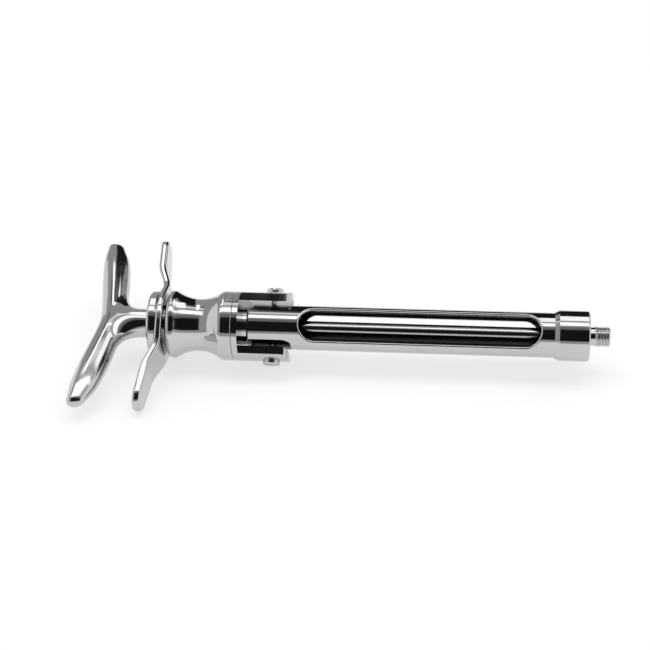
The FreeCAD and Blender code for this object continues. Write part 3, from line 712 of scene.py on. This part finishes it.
def arc_card(name, start, end, radius, half_length, middle_x, strength, soft):
    """A stage card bent about the syringe's axis.

    It runs between two heights, in degrees from the camera's side over the top: a point is
    (x, -radius cos a, radius sin a). Only mirror-like rays see it.
    """
    steps = 24
    a = np.radians(np.linspace(start, end, steps))
    x = np.array([middle_x - half_length, middle_x + half_length])
    grid = np.empty((steps, 2, 3))
    grid[:, :, 0] = x[None, :]
    grid[:, :, 1] = (-radius * np.cos(a))[:, None]
    grid[:, :, 2] = (radius * np.sin(a))[:, None]
    row = np.arange(steps - 1) * 2
    faces = np.stack([row, row + 1, row + 3, row + 2], 1)
    obj = add_mesh(name, grid.reshape(-1, 3).tolist(), faces.tolist(),
                   card_material(name, strength, soft, half_length, middle_x))
    obj.visible_camera = False
    obj.visible_diffuse = False
    obj.visible_shadow = False
    obj.visible_transmission = False
    obj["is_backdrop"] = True


def add_camera(settings):
    """Camera at the given angle about the long axis. The axis passes `foot_x` at mid picture."""
    az, el = math.radians(settings["azimuth"]), math.radians(settings["elevation"])
    across = Vector((0, -math.cos(el), math.sin(el)))
    back = (across * math.cos(az) + Vector((1, 0, 0)) * math.sin(az)).normalized()
    right = (Vector((1, 0, 0)) * math.cos(az) - across * math.sin(az)).normalized()
    up = back.cross(right).normalized()
    roll = math.radians(settings["roll"])
    right, up = (right * math.cos(roll) + up * math.sin(roll),
                 up * math.cos(roll) - right * math.sin(roll))
    data = bpy.data.cameras.new("camera")
    data.sensor_width = 36.0
    data.lens = settings["lens"]
    data.clip_start, data.clip_end = 0.01, 20.0
    data.shift_y = settings["shift_up"]
    obj = bpy.data.objects.new("camera", data)
    bpy.context.scene.collection.objects.link(obj)
    place = Vector((settings["foot_x"], 0, 0)) + back * settings["distance"]
    turn = Matrix((right, up, back)).transposed()
    obj.matrix_world = Matrix.Translation(place) @ turn.to_4x4()
    bpy.context.scene.camera = obj


def add_stage(levels):
    """Floor, cards, lamp, world and camera."""
    z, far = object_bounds()[0].z - FLOOR_GAP, FLOOR_SIZE
    floor = add_mesh("floor", [(-far, -far, z), (far, -far, z), (far, far, z), (-far, far, z)],
                     [(0, 1, 2, 3)], floor_paper(PAPER_GLOW * levels.backdrop))
    floor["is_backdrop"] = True
    for name, start, end, radius, half_length, middle_x, strength, soft in CARDS:
        arc_card(name, start, end, radius, half_length, middle_x, levels.cards * strength, soft)
    lamp = bpy.data.lights.new("overhead_softbox", "AREA")
    lamp.shape, lamp.size, lamp.size_y, lamp.energy = "RECTANGLE", 0.9, 0.28, levels.lamp
    holder = bpy.data.objects.new("overhead_softbox", lamp)
    holder.location = (-0.08, 0.02, 0.70)
    bpy.context.scene.collection.objects.link(holder)
    world = bpy.data.worlds.new("studio")
    world.use_nodes = True
    tree = world.node_tree
    back = tree.nodes["Background"]
    level = tree.nodes.new("ShaderNodeMapRange")
    level.inputs["To Min"].default_value = levels.ambient
    level.inputs["To Max"].default_value = levels.backdrop
    tree.links.new(seen_directly(tree), level.inputs["Value"])
    back.inputs["Color"].default_value = (1, 1, 1, 1)
    tree.links.new(level.outputs["Result"], back.inputs["Strength"])
    bpy.context.scene.world = world
    bpy.context.scene.view_settings.view_transform = "Standard"
    add_camera(CAMERA)


# ------------------------------------------------------------------ add-on
class SYRINGE_OT_metals(bpy.types.Operator):
    """Give each CAD piece its metal"""

    bl_idname = "syringe.metals"
    bl_label = "Metals"

    def execute(self, context):
        for node in FINISH:
            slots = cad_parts[node].data.materials
            slots.clear()
            slots.append(metal_for(node))
        return {"FINISHED"}


class SYRINGE_OT_thumb_bar(bpy.types.Operator):
    """Build the smooth thumb bar"""

    bl_idname = "syringe.thumb_bar"
    bl_label = "Thumb bar"

    def execute(self, context):
        build_thumb_bar(context.scene.syringe_thumb_bar)
        return {"FINISHED"}


class SYRINGE_OT_barrel_strip(bpy.types.Operator):
    """Build the strip that narrows the barrel's rear window"""

    bl_idname = "syringe.barrel_strip"
    bl_label = "Barrel strip"

    def execute(self, context):
        build_barrel_strip(context.scene.syringe_barrel_strip)
        return {"FINISHED"}


class SYRINGE_OT_finger_grip(bpy.types.Operator):
    """Build the winged finger grip"""

    bl_idname = "syringe.finger_grip"
    bl_label = "Finger grip"

    def execute(self, context):
        build_finger_grip(context.scene.syringe_finger_grip)
        return {"FINISHED"}


class SYRINGE_OT_needle_adaptor(bpy.types.Operator):
    """Build the needle adaptor with its thread"""

    bl_idname = "syringe.needle_adaptor"
    bl_label = "Needle adaptor"

    def execute(self, context):
        build_needle_adaptor(context.scene.syringe_needle_thread)
        return {"FINISHED"}


class SYRINGE_OT_stage(bpy.types.Operator):
    """Add the floor, cards, lamp, world and camera"""

    bl_idname = "syringe.stage"
    bl_label = "Studio"

    def execute(self, context):
        add_stage(context.scene.syringe_studio)
        return {"FINISHED"}


OPERATORS = (SYRINGE_OT_metals, SYRINGE_OT_thumb_bar, SYRINGE_OT_barrel_strip,
             SYRINGE_OT_finger_grip, SYRINGE_OT_needle_adaptor, SYRINGE_OT_stage)
SETTINGS = {"syringe_thumb_bar": ThumbBarSizes, "syringe_barrel_strip": BarrelStripSizes,
            "syringe_finger_grip": FingerGripSizes,
            "syringe_needle_thread": NeedleThreadSizes, "syringe_metals": MetalTones,
            "syringe_studio": StudioLevels}


class SYRINGE_PT_panel(bpy.types.Panel):
    """Lists the steps that dress the syringe"""

    bl_label = "Dental syringe"
    bl_idname = "SYRINGE_PT_panel"
    bl_space_type = "VIEW_3D"
    bl_region_type = "UI"
    bl_category = "Syringe"

    def draw(self, context):
        for operator in OPERATORS:
            self.layout.operator(operator.bl_idname)


CLASSES = (*SETTINGS.values(), *OPERATORS, SYRINGE_PT_panel)


def register():
    """Register the classes and add each group of sizes to the scene."""
    for item in CLASSES:
        bpy.utils.register_class(item)
    for name, group in SETTINGS.items():
        setattr(bpy.types.Scene, name, bpy.props.PointerProperty(type=group))


def unregister():
    """Take away what register adds."""
    for name in SETTINGS:
        delattr(bpy.types.Scene, name)
    for item in reversed(CLASSES):
        bpy.utils.unregister_class(item)


def main():
    """Register the add-on, dress the syringe and set the stage."""
    register()
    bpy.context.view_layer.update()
    bpy.ops.syringe.metals()
    bpy.ops.syringe.thumb_bar()
    bpy.ops.syringe.barrel_strip()
    bpy.ops.syringe.finger_grip()
    bpy.ops.syringe.needle_adaptor()
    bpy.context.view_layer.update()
    bpy.ops.syringe.stage()


if __name__ == "__main__":
    main()
